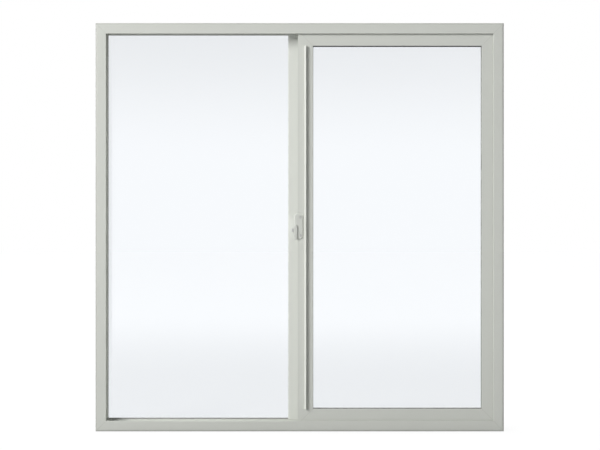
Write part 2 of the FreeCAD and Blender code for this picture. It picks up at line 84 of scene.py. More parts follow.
class WindowFinish(bpy.types.PropertyGroup):
    """Colours and surface values of the window's materials."""

    vinyl: FloatVectorProperty(
        name="Vinyl", description="Colour of the extrusions", subtype="COLOR",
        default=(0.705, 0.72, 0.668), min=0, max=1)
    # Painted light: a lighter copy of the vinyl colour stands in for the extra light on the mullion and the
    # pull rail.
    painted_light_vinyl: FloatVectorProperty(
        name="Light vinyl", description="Colour of the mullion and the pull rail", subtype="COLOR",
        default=(0.80, 0.815, 0.765), min=0, max=1)
    vinyl_roughness: FloatProperty(
        name="Vinyl roughness", description="Sheen of the extrusions", default=0.38, min=0, max=1)
    # Painted shade: the outer frame's rim is darkened to these shares of the colour, more on the jambs than
    # on head and sill.
    level_rim_shade: FloatProperty(
        name="Level rim", description="Share of the colour that the rim of head and sill keeps",
        default=0.76, min=0, max=1)
    upright_rim_shade: FloatProperty(
        name="Upright rim", description="Share of the colour that the rim of the jambs keeps",
        default=0.58, min=0, max=1)
    glass: FloatVectorProperty(
        name="Glass", description="Tint of each pane", subtype="COLOR",
        default=(0.967, 0.979, 0.992), min=0, max=1)
    rubber: FloatVectorProperty(
        name="Gasket", description="Colour of the sash's gaskets, of the blocks, the stop and the spacers",
        subtype="COLOR", default=(0.026, 0.027, 0.027), min=0, max=1)
    grey_rubber: FloatVectorProperty(
        name="Grey gasket", description="Colour of the fixed light's inner gasket", subtype="COLOR",
        default=(0.3, 0.3, 0.29), min=0, max=1)
    white_tape: FloatVectorProperty(
        name="Glazing tape", description="Colour of the fixed light's outer gasket", subtype="COLOR",
        default=(0.78, 0.78, 0.76), min=0, max=1)
    pile: FloatVectorProperty(
        name="Pile", description="Colour of the brush seals", subtype="COLOR",
        default=(0.22, 0.22, 0.21), min=0, max=1)
    nylon: FloatVectorProperty(
        name="Nylon", description="Colour of the roller units", subtype="COLOR",
        default=(0.06, 0.06, 0.062), min=0, max=1)
    metal: FloatVectorProperty(
        name="Metal", description="Colour of bare metal", subtype="COLOR",
        default=(0.62, 0.62, 0.61), min=0, max=1)


class WindowDetail(bpy.types.PropertyGroup):
    """Sizes of the pieces that are shaped here."""

    latch_corner: FloatProperty(
        name="Latch corner", description="Corner radius of the latch body",
        default=0.0098, min=0.001, unit="LENGTH")
    latch_edge: FloatProperty(
        name="Latch edge", description="Rounding of the latch body's front edge",
        default=0.0033, min=0.0005, unit="LENGTH")
    latch_crown: FloatProperty(
        name="Latch crown", description="Rise of the latch body's face",
        default=0.0004, min=0, unit="LENGTH")
    lever_top: FloatProperty(
        name="Lever boss", description="Radius of the lever at its pivot",
        default=0.0058, min=0.001, unit="LENGTH")
    lever_tip: FloatProperty(
        name="Lever tip", description="Radius of the lever's end",
        default=0.0048, min=0.001, unit="LENGTH")
    gasket_corner: FloatProperty(
        name="Gasket corner", description="Radius of the gasket at the glass corners",
        default=0.0015, min=0.0005, unit="LENGTH")
    # The sash's black lap is widest above. There it is partly the gasket and partly a painted shadow of the
    # top rail on the glass edge.
    sash_lap: FloatVectorProperty(
        name="Sash gasket lap",
        description="How much further than the solid the sash's inner gasket laps onto the glass: left, "
        "right, below, above",
        size=4, default=(0.0003, 0.0007, 0.0013, 0.0026), unit="LENGTH")
    fixed_lap: FloatVectorProperty(
        name="Fixed gasket lap",
        description="The same for the fixed light's inner gasket. It is negative where the gasket stays back",
        size=4, default=(-0.0013, 0.0, 0.0006, -0.001), unit="LENGTH")
    tape_lap: FloatProperty(
        name="Tape lap", description="The same for every side of the fixed light's outer gasket",
        default=-0.003, unit="LENGTH")
    spacer_lap: FloatProperty(
        name="Spacer lap", description="The same for every side of the fixed light's spacer",
        default=-0.0012, unit="LENGTH")
    bead_front: FloatProperty(
        name="Bead at the glass", description="Width of the fixed light's beads against the glass",
        default=0.0136, min=0.004, unit="LENGTH")
    bead_back: FloatProperty(
        name="Bead outside", description="Width of the fixed light's beads at their outer face",
        default=0.0102, min=0.004, unit="LENGTH")
    bead_edge: FloatProperty(
        name="Bead edge", description="Rounding of the beads' outer edge",
        default=0.0018, min=0.0002, unit="LENGTH")
    bristle_pitch: FloatProperty(
        name="Bristle pitch", description="Distance between tufts",
        default=0.0025, min=0.001, unit="LENGTH")
    ring_steps: IntProperty(
        name="Round steps", description="Points round each quarter turn", default=12, min=4, max=48)


class WindowStudio(bpy.types.PropertyGroup):
    """Camera and light."""

    distance: FloatProperty(
        name="Camera distance", description="From the frame's face to the lens",
        default=3.4, min=0.5, unit="LENGTH")
    height: FloatProperty(
        name="Camera height", description="Above the sill's underside", default=0.6815, unit="LENGTH")
    aside: FloatProperty(
        name="Camera aside", description="Right of the window's middle", default=0.0609, unit="LENGTH")
    view_middle: FloatVectorProperty(
        name="View middle",
        description="Point of the frame's face that the picture is centred on, across and up",
        size=2, default=(0.0009, 0.6095), unit="LENGTH")
    lens: FloatProperty(name="Lens", description="Focal length in millimetres", default=69.06, min=10)
    key: FloatProperty(name="Key light", description="Power of the upper left light", default=556, min=0)
    fill: FloatProperty(name="Fill light", description="Power of the low right light", default=1.0, min=0)
    room: FloatProperty(name="Room light", description="Strength of the light all round", default=0.12, min=0)
    outside: FloatProperty(
        name="Outside light", description="Strength of the light outside", default=1.35, min=0)
    glow: FloatProperty(
        name="Glow", description="Brightness that the glass reflects at eye level", default=1.0, min=0)


# Mesh helpers

def quads(rows, columns, wrap_rows=False):
    """Faces of a grid of points. Each row is a closed ring and is joined to the next row, and where wrapped
    the last row to the first."""
    row = np.arange(rows if wrap_rows else rows - 1)
    row, column = np.meshgrid(row, np.arange(columns), indexing="ij")
    next_row = (row + 1) % rows
    next_column = (column + 1) % columns
    corners = (
        row * columns + column, row * columns + next_column,
        next_row * columns + next_column, next_row * columns + column)
    return np.stack(corners, axis=-1).reshape(-1, 4).tolist()


def capped(rings):
    """A closed shell: rings of points joined in order, with a flat face over the first and the last
    ring."""
    rows, columns = rings.shape[:2]
    faces = quads(rows, columns)
    faces.append(list(range(columns)))
    faces.append(list(range((rows - 1) * columns, rows * columns)))
    return rings.reshape(-1, 3), faces


def looped(rings):
    """A closed tube: rings of points joined in order and the last one to the first."""
    return rings.reshape(-1, 3), quads(*rings.shape[:2], wrap_rows=True)


def make_piece(name, shells, material, body, node):
    """Put shells into one mesh with outward faces that rides on its body and replaces the CAD node."""
    points = []
    faces = []
    count = 0
    for shell_points, shell_faces in shells:
        points.append(shell_points)
        faces.extend([[index + count for index in face] for face in shell_faces])
        count += len(shell_points)
    mesh = bpy.data.meshes.new(name)
    mesh.from_pydata(np.concatenate(points).tolist(), [], faces)
    shape = bmesh.new()
    shape.from_mesh(mesh)
    bmesh.ops.recalc_face_normals(shape, faces=shape.faces)
    shape.to_mesh(mesh)
    shape.free()
    mesh.shade_smooth()
    mesh.set_sharp_from_angle(angle=SHARP_ANGLE)
    mesh.materials.append(material)
    item = bpy.data.objects.new(name, mesh)
    bpy.context.scene.collection.objects.link(item)
    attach(item, body)
    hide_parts(node)


def rounded_rectangle(width, height, radius, steps):
    """Points and outward directions of a rectangle about the origin whose corners are quarter circles."""
    angle = np.linspace(0, math.pi / 2, steps + 1)
    turn = np.concatenate([angle + quarter * math.pi / 2 for quarter in range(4)])
    side = np.repeat([(1, 1), (-1, 1), (-1, -1), (1, -1)], steps + 1, axis=0)
    outward = np.column_stack([np.cos(turn), np.sin(turn)])
    centre = side * (np.array([width, height]) / 2 - radius)
    return centre + outward * radius, outward


def tapered_slot(top, tip, length, steps):
    """Points and outward directions of two circles, one below the other, joined by their tangents."""
    lean = math.asin((top - tip) / length)
    upper = np.linspace(-lean, math.pi + lean, 2 * steps)
    lower = np.linspace(math.pi + lean, 2 * math.pi - lean, 2 * steps)
    turn = np.concatenate([upper, lower])
    outward = np.column_stack([np.cos(turn), np.sin(turn)])
    radius = np.repeat([top, tip], 2 * steps)[:, None]
    drop = np.repeat([0.0, -length], 2 * steps)
    centre = np.column_stack([np.zeros(4 * steps), drop])
    return centre + outward * radius, outward


def pillow(outline, outward, front, back, edge, crown, steps):
    """A plate with a soft front. The outline is carried straight from the back to the start of the edge,
    then moves inward and forward along a quarter circle, and then shrinks towards its middle while the face
    rises by the crown times one minus the square of the shrink. The edge is negative on a plate that faces
    +Y."""
    innermost = 0.06
    angle = np.linspace(0, math.pi / 2, steps + 1)
    inset = np.concatenate([[0.0], abs(edge) * (1 - np.cos(angle))])
    depth = np.concatenate([[back], front + edge * (1 - np.sin(angle))])
    walls = outline[None] - outward[None] * inset[:, None, None]
    middle = outline.mean(axis=0)
    shrink = np.linspace(1, innermost, steps)[1:]
    face = middle + (walls[-1] - middle)[None] * shrink[:, None, None]
    across = np.concatenate([walls, face])
    depth = np.concatenate([depth, front - crown * (1 - shrink ** 2)])
    deep = np.broadcast_to(depth[:, None], across.shape[:2])
    return capped(np.stack([across[..., 0], deep, across[..., 1]], axis=-1))


def shifted(shell, x, y, z):
    """The shell moved by three distances."""
    points, faces = shell
    return points + np.array([x, y, z]), faces


def turned(profile, steps):
    """A solid of revolution about the Y axis: each radius and depth of the profile goes once round."""
    angle = np.linspace(0, 2 * math.pi, 4 * steps, endpoint=False)
    radius = profile[:, 0][:, None]
    depth = np.broadcast_to(profile[:, 1][:, None], (len(profile), len(angle)))
    return capped(np.stack([radius * np.cos(angle), depth, radius * np.sin(angle)], axis=-1))


def block(low, high):
    """A box between two corners, as two rings of four points."""
    x = np.array([low[0], high[0], high[0], low[0]])
    z = np.array([low[2], low[2], high[2], high[2]])
    rings = [np.column_stack([x, np.full(4, depth), z]) for depth in (low[1], high[1])]
    return capped(np.stack(rings))


# Measures of the CAD nodes

def outline_box(*nodes):
    """Lowest and highest corner of CAD nodes taken together."""
    boxes = [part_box(node) for node in nodes]
    return np.min([low for low, high in boxes], axis=0), np.max([high for low, high in boxes], axis=0)


def node_points(node):
    """All points of a CAD node's mesh."""
    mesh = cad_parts[node].data
    points = np.empty(len(mesh.vertices) * 3)
    mesh.vertices.foreach_get("co", points)
    return points.reshape(-1, 3)


def solid_bounds(node, count):
    """Lowest and highest corner of each like solid in a node, whose points lie one solid after another."""
    points = node_points(node).reshape(count, -1, 3)
    return list(zip(points.min(axis=1), points.max(axis=1)))


# Material helpers

def new_group(name, inputs, outputs):
    """An empty shader node group with named sockets."""
    group = bpy.data.node_groups.new(name, "ShaderNodeTree")
    for label, kind, value in inputs:
        socket = group.interface.new_socket(name=label, in_out="INPUT", socket_type=kind)
        socket.default_value = value
    for label, kind in outputs:
        group.interface.new_socket(name=label, in_out="OUTPUT", socket_type=kind)
    return group, group.nodes.new("NodeGroupInput"), group.nodes.new("NodeGroupOutput")


def feed(tree, socket, value):
    """Link another node's output to a socket, or set the socket's own value."""
    if isinstance(value, bpy.types.NodeSocket):
        tree.links.new(value, socket)
    else:
        socket.default_value = value


def maths(tree, operation, *values):
    """The output of a Math node. Each value is a number or another node's output."""
    node = tree.nodes.new("ShaderNodeMath")
    node.operation = operation
    for socket, value in zip(node.inputs, values):
        feed(tree, socket, value)
    return node.outputs[0]


def multiplied(tree, factor, base, colour):
    """A base colour times another colour, as far as the factor goes."""
    node = tree.nodes.new("ShaderNodeMix")
    node.data_type = "RGBA"
    node.blend_type = "MULTIPLY"
    for label, value in (("Factor", factor), ("A", base), ("B", colour)):
        feed(tree, node.inputs[label], value)
    return node.outputs["Result"]


def noise(tree, place, scale, detail):
    """A noise pattern on the given coordinates."""
    node = tree.nodes.new("ShaderNodeTexNoise")
    node.inputs["Scale"].default_value = scale
    node.inputs["Detail"].default_value = detail
    tree.links.new(place, node.inputs["Vector"])
    return node.outputs["Fac"]


def bump(tree, height, strength, distance, under=None, sunk=False):
    """The normal over a height, or over a depth where it is sunk, on top of the normal under it."""
    node = tree.nodes.new("ShaderNodeBump")
    node.invert = sunk
    node.inputs["Strength"].default_value = strength
    node.inputs["Distance"].default_value = distance
    tree.links.new(height, node.inputs["Height"])
    if under is not None:
        tree.links.new(under, node.inputs["Normal"])
    return node.outputs["Normal"]


def split_place(tree, kind):
    """X, Y and Z of a kind of texture coordinates."""
    place = tree.nodes.new("ShaderNodeTexCoord")
    split = tree.nodes.new("ShaderNodeSeparateXYZ")
    tree.links.new(place.outputs[kind], split.inputs[0])
    return split.outputs


def build_weld_group():
    """Two masks. The mitre is the fine diagonal where two bars meet: how near the distances to the two
    outer edges are to equal. The edge is one at the outer edge and falls to nothing over the edge width."""
    kind = "NodeSocketFloat"
    inputs = [(label, kind, value) for label, value in (
        ("Centre X", 0.0), ("Centre Z", 0.6), ("Half width", 0.6), ("Half height", 0.6), ("Line", 0.0006),
        ("Edge width", 0.003))]
    group, source, target = new_group("weld_line", inputs, [("Mask", kind), ("Edge", kind)])
    place = split_place(group, "Object")
    reach = []
    for axis, centre, half in (("X", "Centre X", "Half width"), ("Z", "Centre Z", "Half height")):
        away = maths(group, "ABSOLUTE", maths(group, "SUBTRACT", place[axis], source.outputs[centre]))
        reach.append(maths(group, "SUBTRACT", away, source.outputs[half]))
    apart = maths(group, "ABSOLUTE", maths(group, "SUBTRACT", *reach))
    near = maths(group, "SUBTRACT", 1.0, maths(group, "DIVIDE", apart, source.outputs["Line"]))
    group.links.new(maths(group, "MAXIMUM", near, 0.0), target.inputs["Mask"])
    inside = maths(group, "DIVIDE", maths(group, "MAXIMUM", *reach), source.outputs["Edge width"])
    rim = maths(group, "MINIMUM", maths(group, "MAXIMUM", maths(group, "ADD", inside, 1.0), 0.0), 1.0)
    group.links.new(rim, target.inputs["Edge"])
    return group


def build_moulded_group():
    """Colour and roughness of smooth plastic: large soft clouds vary the colour, a fine grain varies the
    sheen, and drawn lines run along the bar where the stretch is set."""
    cloud_scale = 7
    grain_scale = 900
    cloud_detail = line_detail = 3
    grain_detail = 2
    sheen_swing = 0.12
    inputs = [
        ("Colour", "NodeSocketColor", (0.8, 0.8, 0.8, 1)),
        ("Roughness", "NodeSocketFloat", 0.4),
        ("Variation", "NodeSocketFloat", 0.03),
        ("Stretch", "NodeSocketVector", (1, 1, 1)),
    ]
    outputs = [("Colour", "NodeSocketColor"), ("Roughness", "NodeSocketFloat"), ("Lines", "NodeSocketFloat")]
    group, source, target = new_group("moulded_plastic", inputs, outputs)
    place = group.nodes.new("ShaderNodeTexCoord").outputs["Object"]
    stretch = group.nodes.new("ShaderNodeVectorMath")
    stretch.operation = "MULTIPLY"
    group.links.new(place, stretch.inputs[0])
    group.links.new(source.outputs["Stretch"], stretch.inputs[1])
    cloud = maths(group, "SUBTRACT", noise(group, place, cloud_scale, cloud_detail), 0.5)
    swing = maths(group, "MULTIPLY", cloud, source.outputs["Variation"])
    level = maths(group, "ADD", 1.0, maths(group, "MULTIPLY", swing, 2.0))
    grey = group.nodes.new("ShaderNodeCombineColor")
    for socket in grey.inputs[:3]:
        group.links.new(level, socket)
    shade = multiplied(group, 1, source.outputs["Colour"], grey.outputs[0])
    group.links.new(shade, target.inputs["Colour"])
    grain = maths(group, "SUBTRACT", noise(group, place, grain_scale, grain_detail), 0.5)
    dull = maths(group, "MULTIPLY", grain, sheen_swing)
    group.links.new(maths(group, "ADD", source.outputs["Roughness"], dull), target.inputs["Roughness"])
    group.links.new(noise(group, stretch.outputs[0], 1, line_detail), target.inputs["Lines"])
    return group


def group_node(tree, group, **values):
    """A node of a shared group with its own values."""
    node = tree.nodes.new("ShaderNodeGroup")
    node.node_tree = group
    for label, value in values.items():
        node.inputs[label.replace("_", " ")].default_value = value
    return node


def new_material(name):
    """A material with its node tree and its shader."""
    material = bpy.data.materials.new(name)
    material.use_nodes = True
    shader = material.node_tree.nodes["Principled BSDF"]
    return material, material.node_tree, shader


def shared_group(name):
    """The node group of that name, built when it is first asked for."""
    builders = {"weld_line": build_weld_group, "moulded_plastic": build_moulded_group}
    return bpy.data.node_groups.get(name) or builders[name]()


def vinyl_material(name, colour, stretch, weld, rim=0.76):
    """White uPVC: satin, with faint drawn lines along the bar, a fine weld line at each mitre, and a soft
    outer edge whose colour falls to the rim's share: painted shade on the rounded edge."""
    variation = 0.018
    specular = 0.45
    weld_tint = (0.72, 0.72, 0.70, 1)
    # Painted shade: the rounded outer edge is darkened to the rim's share of the colour.
    rim_shade_tint = (rim, rim, rim - 0.01, 1)
    rim_fall = 1.05 * MM
    line_share = 0.25
    line_strength = 0.35
    line_depth = 0.3 * MM
    finish = bpy.context.scene.window_finish
    material, tree, shader = new_material(name)
    plastic = group_node(
        tree, shared_group("moulded_plastic"), Colour=(*colour, 1), Roughness=finish.vinyl_roughness,
        Variation=variation, Stretch=stretch)
    seam = group_node(tree, shared_group("weld_line"), **weld)
    welded = multiplied(tree, seam.outputs["Mask"], plastic.outputs["Colour"], weld_tint)
    # Painted shade laid over the outer edge.
    rim_shaded = multiplied(tree, seam.outputs["Edge"], welded, rim_shade_tint)
    tree.links.new(rim_shaded, shader.inputs["Base Color"])
    tree.links.new(plastic.outputs["Roughness"], shader.inputs["Roughness"])
    rounded = bump(tree, seam.outputs["Edge"], 1, rim_fall, sunk=True)
    lines = maths(tree, "MULTIPLY", plastic.outputs["Lines"], line_share)
    rise = maths(tree, "SUBTRACT", lines, seam.outputs["Mask"])
    tree.links.new(bump(tree, rise, line_strength, line_depth, under=rounded), shader.inputs["Normal"])
    shader.inputs["IOR"].default_value = REFRACTION
    shader.inputs["Specular IOR Level"].default_value = specular
    return material


def plain_material(name, colour, roughness, variation=0.05, grain=400, metallic=0.0):
    """A material with soft colour clouds and a fine grain."""
    grain_strength = 0.4
    grain_depth = 0.05 * MM
    material, tree, shader = new_material(name)
    plastic = group_node(
        tree, shared_group("moulded_plastic"), Colour=(*colour, 1), Roughness=roughness, Variation=variation,
        Stretch=(grain, grain, grain))
    tree.links.new(plastic.outputs["Colour"], shader.inputs["Base Color"])
    tree.links.new(plastic.outputs["Roughness"], shader.inputs["Roughness"])
    surface = bump(tree, plastic.outputs["Lines"], grain_strength, grain_depth)
    tree.links.new(surface, shader.inputs["Normal"])
    shader.inputs["Metallic"].default_value = metallic
    return material


def glass_material():
    """Clear float glass with a faint tint."""
    finish = bpy.context.scene.window_finish
    material, _, shader = new_material("float_glass")
    shader.inputs["Base Color"].default_value = (*finish.glass, 1)
    shader.inputs["Roughness"].default_value = 0.0
    shader.inputs["IOR"].default_value = REFRACTION
    shader.inputs["Transmission Weight"].default_value = 1.0
    return material


def dress(nodes, material):
    """Give CAD nodes a finished material."""
    for name in nodes:
        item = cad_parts[name]
        if item.material_slots:
            item.material_slots[0].material = material
        else:
            item.data.materials.append(material)


def weld_values(nodes, line, edge):
    """Centre and half sizes of the outline that these mitred bars make, and the widths of weld and rim."""
    low, high = outline_box(*nodes)
    middle = (low + high) / 2
    half = (high - low) / 2
    return {
        "Centre_X": float(middle[0]), "Centre_Z": float(middle[2]),
        "Half_width": float(half[0]), "Half_height": float(half[2]),
        "Line": line, "Edge_width": edge}


# Operators

class WINDOW_OT_extrusions(bpy.types.Operator):
    """Finish the frame, the mullion and the sash in white vinyl"""

    bl_idname = "window.extrusions"
    bl_label = "Extrusions"

    def execute(self, context):
        finish = context.scene.window_finish
        # The outer frame's rim gets painted shade; the sash has none.
        for bars, rails, stiles, shaded_rim_width in (
                ("frame", FRAME_LEVEL, FRAME_UPRIGHT, FRAME_SHADED_RIM), ("sash", SASH_LEVEL, SASH_UPRIGHT, NO_SHADED_RIM)):
            weld = weld_values(rails + stiles, WELD_WIDTH, shaded_rim_width)
            for run, nodes, grain, rim in (
                    ("level", rails, LEVEL_GRAIN, finish.level_rim_shade),
                    ("upright", stiles, UPRIGHT_GRAIN, finish.upright_rim_shade)):
                dress(nodes, vinyl_material(f"vinyl_{bars}_{run}", finish.vinyl, grain, weld, rim))
        # Bars with square ends: the weld is too fine to see and the outline lies outside the window.
        square = {"Line": 1e-6, "Half_width": 2.0, "Half_height": 2.0}
        # Painted light: the mullion and the pull rail get a lighter copy of the vinyl.
        light = vinyl_material("vinyl_painted_light", finish.painted_light_vinyl, UPRIGHT_GRAIN, square)
        dress(("mullion", "sash_pull_rail"), light)
        return {"FINISHED"}


class WINDOW_OT_beads(bpy.types.Operator):
    """Finish the sash's beads, and shape the fixed light's with a face that slopes away from the glass"""

    bl_idname = "window.beads"
    bl_label = "Beads"

    def execute(self, context):
        finish = context.scene.window_finish
        detail = context.scene.window_detail
        for light in ("fixed", "sash"):
            names = [f"{light}_bead_{side}" for side in SIDES]
            low, high = outline_box(*names)
            joint = weld_values(names, BEAD_JOINT, NO_SHADED_RIM)
            for side, name in zip(SIDES, names):
                grain = LEVEL_GRAIN if side in ("bottom", "top") else UPRIGHT_GRAIN
                vinyl = vinyl_material(f"vinyl_{name}", finish.vinyl, grain, joint)
                if light == "fixed":
                    bead = self.bead(side, low, high, detail)
                    make_piece(f"{name}_sloped", [bead], vinyl, "frame", name)
                else:
                    dress([name], vinyl)
        return {"FINISHED"}

    @staticmethod
    def bead(side, low, high, detail):
        """A mitred bar along one side of the outline. Its section runs from the glass straight to the outer
        face, with the edge between them rounded by a parabola, and each point of the section lies as far
        inside the outline at both ends, which makes the mitres."""
        edge_points = 7
        start = np.array([detail.bead_front, low[1]])
        corner = np.array([detail.bead_back, high[1]])
        before = corner + (start - corner) * detail.bead_edge / (high[1] - low[1])
        after = corner - [detail.bead_edge, 0]
        part = np.linspace(0, 1, edge_points)[:, None]
        edge = (1 - part) ** 2 * before + 2 * part * (1 - part) * corner + part ** 2 * after
        section = np.concatenate([[(0, low[1]), start], edge, [(0, high[1])]])
        x = (low[0] + section[:, 0], high[0] - section[:, 0])
        z = (low[2] + section[:, 0], high[2] - section[:, 0])
        ends = {"bottom": ((0, 0), (1, 0)), "top": ((0, 1), (1, 1)),
                "left": ((0, 0), (0, 1)), "right": ((1, 0), (1, 1))}
        return capped(np.stack([np.column_stack([x[i], section[:, 1], z[k]]) for i, k in ends[side]]))


class WINDOW_OT_glazing(bpy.types.Operator):
    """Finish the panes, which let light and shadow pass"""

    bl_idname = "window.glazing"
    bl_label = "Glazing"

    def execute(self, context):
        dress(PANES, glass_material())
        for name in PANES:
            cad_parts[name].visible_shadow = False
            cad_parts[name].visible_diffuse = False
        return {"FINISHED"}


class WINDOW_OT_gaskets(bpy.types.Operator):
    """Shape the four glazing gaskets and the fixed light's spacer, and finish the sash's spacer, the blocks
    and the stop"""

    bl_idname = "window.gaskets"
    bl_label = "Gaskets"

    # Depth of the lip as a share of the strip's thickness: round on a gasket, nearly flat on a spacer.
    ROUND_LIP = 0.5
    FLAT_LIP = 0.05

    def execute(self, context):
        finish = context.scene.window_finish
        detail = context.scene.window_detail
        rubber = plain_material("gasket_rubber", finish.rubber, 0.55, variation=0.1)
        grey = plain_material("grey_gasket_rubber", finish.grey_rubber, 0.55, variation=0.1)
        tape = plain_material("glazing_tape", finish.white_tape, 0.7, variation=0.06)
        foam = plain_material("spacer_foam", finish.rubber, 0.7, grain=900)
        no_lap = np.zeros(4)
        for node, body, finished, lap in (
                ("fixed_gasket_inner", "frame", grey, detail.fixed_lap),
                ("fixed_gasket_outer", "frame", tape, no_lap + detail.tape_lap),
                ("sash_gasket_inner", "sash", rubber, detail.sash_lap),
                ("sash_gasket_outer", "sash", rubber, no_lap)):
            ring = self.ring(node, lap, detail, self.ROUND_LIP)
            make_piece(f"{node}_lip", [ring], finished, body, node)
        spacer = self.ring("fixed_spacer", no_lap + detail.spacer_lap, detail, self.FLAT_LIP)
        make_piece("fixed_spacer_bar", [spacer], foam, "frame", "fixed_spacer")
        dress(["sash_spacer"], foam)
        dress(("fixed_setting_blocks", "sash_setting_blocks", "sash_stop"), rubber)
        return {"FINISHED"}

    @staticmethod
    def ring(node, lap, detail, bulge):
        """A flat strip with a round inner lip, carried round a rectangle with rounded corners. Each side's
        inner edge lies its lap further onto the glass than the solid's. The lip is half an ellipse as deep
        as the bulge times the thickness, and the outer edge is as far out as the solid's where the lap is
        least."""
        lip_points = 9
        tolerance = 0.01 * MM
        low, high = outline_box(node)
        middle = (low + high) / 2
        half = (high - low) / 2
        away = np.abs(node_points(node) - middle)
        inner = away[(away[:, 0] < half[0] - tolerance) & (away[:, 2] < half[2] - tolerance)]
        width = half[0] - inner[:, 0].max()
        left, right, below, above = lap
        outline, outward = rounded_rectangle(
            2 * (half[0] - width) - left - right, 2 * (half[2] - width) - below - above, detail.gasket_corner,
            detail.ring_steps)
        outline = outline + [middle[0] + (left - right) / 2, middle[2] + (below - above) / 2]
        angle = np.linspace(-math.pi / 2, math.pi / 2, lip_points)
        lip = 2 * half[1] * bulge * (1 - np.cos(angle))
        outer = width + min(lap)
        offset = np.concatenate([[outer], lip, [outer]])
        depth = np.concatenate([[low[1]], middle[1] + half[1] * np.sin(angle), [high[1]]])
        across = outline[:, None] + outward[:, None] * offset[None, :, None]
        deep = np.broadcast_to(depth[None], across.shape[:2])
        return looped(np.stack([across[..., 0], deep, across[..., 1]], axis=-1))


class WINDOW_OT_seals(bpy.types.Operator):
    """Make the brush pile between the frame and the sash"""

    bl_idname = "window.seals"
    bl_label = "Pile seals"

    def execute(self, context):
        finish = context.scene.window_finish
        pitch = context.scene.window_detail.bristle_pitch
        pile = plain_material("brush_pile", finish.pile, 0.9, variation=0.5, grain=1500)
        for node, strips, body, name, forward in (
                ("frame_pile_seal", 1, "frame", "frame_brush", -1),
                ("sash_pile_seals", 3, "sash", "sash_brush", 1)):
            shells = []
            for low, high in solid_bounds(node, strips):
                shells.extend(self.brush(low, high, forward, pitch))
            make_piece(name, shells, pile, body, node)
        return {"FINISHED"}

    @classmethod
    def brush(cls, low, high, forward, pitch):
        """A backing strip with tufts that point to +Y, or to -Y where forward is minus one."""
        backing_thickness = 1.0 * MM
        root = low[1] if forward > 0 else high[1]
        backing = root + forward * backing_thickness
        tip = high[1] if forward > 0 else low[1]
        near = np.array([low[0], min(root, backing), low[2]])
        far = np.array([high[0], max(root, backing), high[2]])
        return [block(near, far), cls.tufts(low, high, backing, tip, pitch)]

    @staticmethod
    def tufts(low, high, backing, end, pitch):
        """Thin wedges side by side along the run: each is a box that narrows towards its tip, and the tips'
        heights vary a little by a product of two waves."""
        unevenness = 0.12
        fast_wave = 1.7
        slow_wave = 0.61
        root_share = 0.48
        tip_share = 0.30
        side_margin = 1.2 * MM
        narrowing = 0.8
        along = 0 if high[0] - low[0] > high[2] - low[2] else 2
        across = 2 - along
        count = int((high[along] - low[along]) / pitch)
        number = np.arange(count)
        centre = low[along] + (number + 0.5) * (high[along] - low[along]) / count
        short = unevenness * (1 + np.sin(number * fast_wave) * np.cos(number * slow_wave))
        tip = end + (backing - end) * short
        middle = (low[across] + high[across]) / 2
        half = (high[across] - low[across]) / 2 - side_margin
        signs = np.array([(-1, -1), (1, -1), (1, 1), (-1, 1)])
        points = np.empty((count, 8, 3))
        points[:, :4, along] = centre[:, None] + signs[:, 0] * pitch * root_share
        points[:, 4:, along] = centre[:, None] + signs[:, 0] * pitch * tip_share
        points[:, :4, across] = middle + signs[:, 1] * half
        points[:, 4:, across] = middle + signs[:, 1] * half * narrowing
        points[:, :4, 1] = backing
        points[:, 4:, 1] = tip[:, None]
        face = np.array([(0, 1, 2, 3), (7, 6, 5, 4), (0, 4, 5, 1), (1, 5, 6, 2), (2, 6, 7, 3), (3, 7, 4, 0)])
        faces = face[None] + 8 * number[:, None, None]
        return points.reshape(-1, 3), faces.reshape(-1, 4).tolist()


class WINDOW_OT_rollers(bpy.types.Operator):
    """Shape the roller wheels and finish the roller units and their rail"""

    bl_idname = "window.rollers"
    bl_label = "Rollers"

    def execute(self, context):
        finish = context.scene.window_finish
        steps = context.scene.window_detail.ring_steps
        nylon = plain_material("nylon", finish.nylon, 0.45)
        for side in ("left", "right"):
            node = f"roller_wheel_{side}"
            low, high = outline_box(node)
            wheel = self.wheel((high[2] - low[2]) / 2, (high[1] - low[1]) / 2, steps)
            wheel = shifted(wheel, *((low + high) / 2))
            make_piece(f"{node}_turned", [wheel], nylon, "sash", node)
        dress(("roller_housing_left", "roller_housing_right"), nylon)
        dress(["sill_roller_rail"], plain_material("mill_rail", finish.metal, 0.3, metallic=1.0))
        return {"FINISHED"}

    @staticmethod
    def wheel(radius, reach, steps):
        """A wheel turned from its half section: axle end, hub, dished web, rim with round edges, and the
        same back."""
        axle = 1.95 * MM
        half = 2.5 * MM
        hub_face = half + 0.3 * MM
        hub = 0.4 * radius
        dish_depth = 0.5 * half
        dish_start = 0.5 * radius
        dish_end = 0.72 * radius
        rim_start = 0.8 * radius
        round_edge = 0.8 * MM
        edge_points = 6
        angle = np.linspace(0, math.pi / 2, edge_points)
        rim_radius = radius - round_edge * (1 - np.cos(angle))
        rim_depth = half - round_edge * (1 - np.sin(angle))
        web = np.array([
            (axle, reach), (axle, hub_face), (hub, hub_face),
            (dish_start, dish_depth), (dish_end, dish_depth), (rim_start, half)])
        front = np.concatenate([web, np.column_stack([rim_radius[::-1], rim_depth[::-1]])])
        back = front[::-1] * np.array([1, -1])
        return turned(np.concatenate([front, back]), steps)


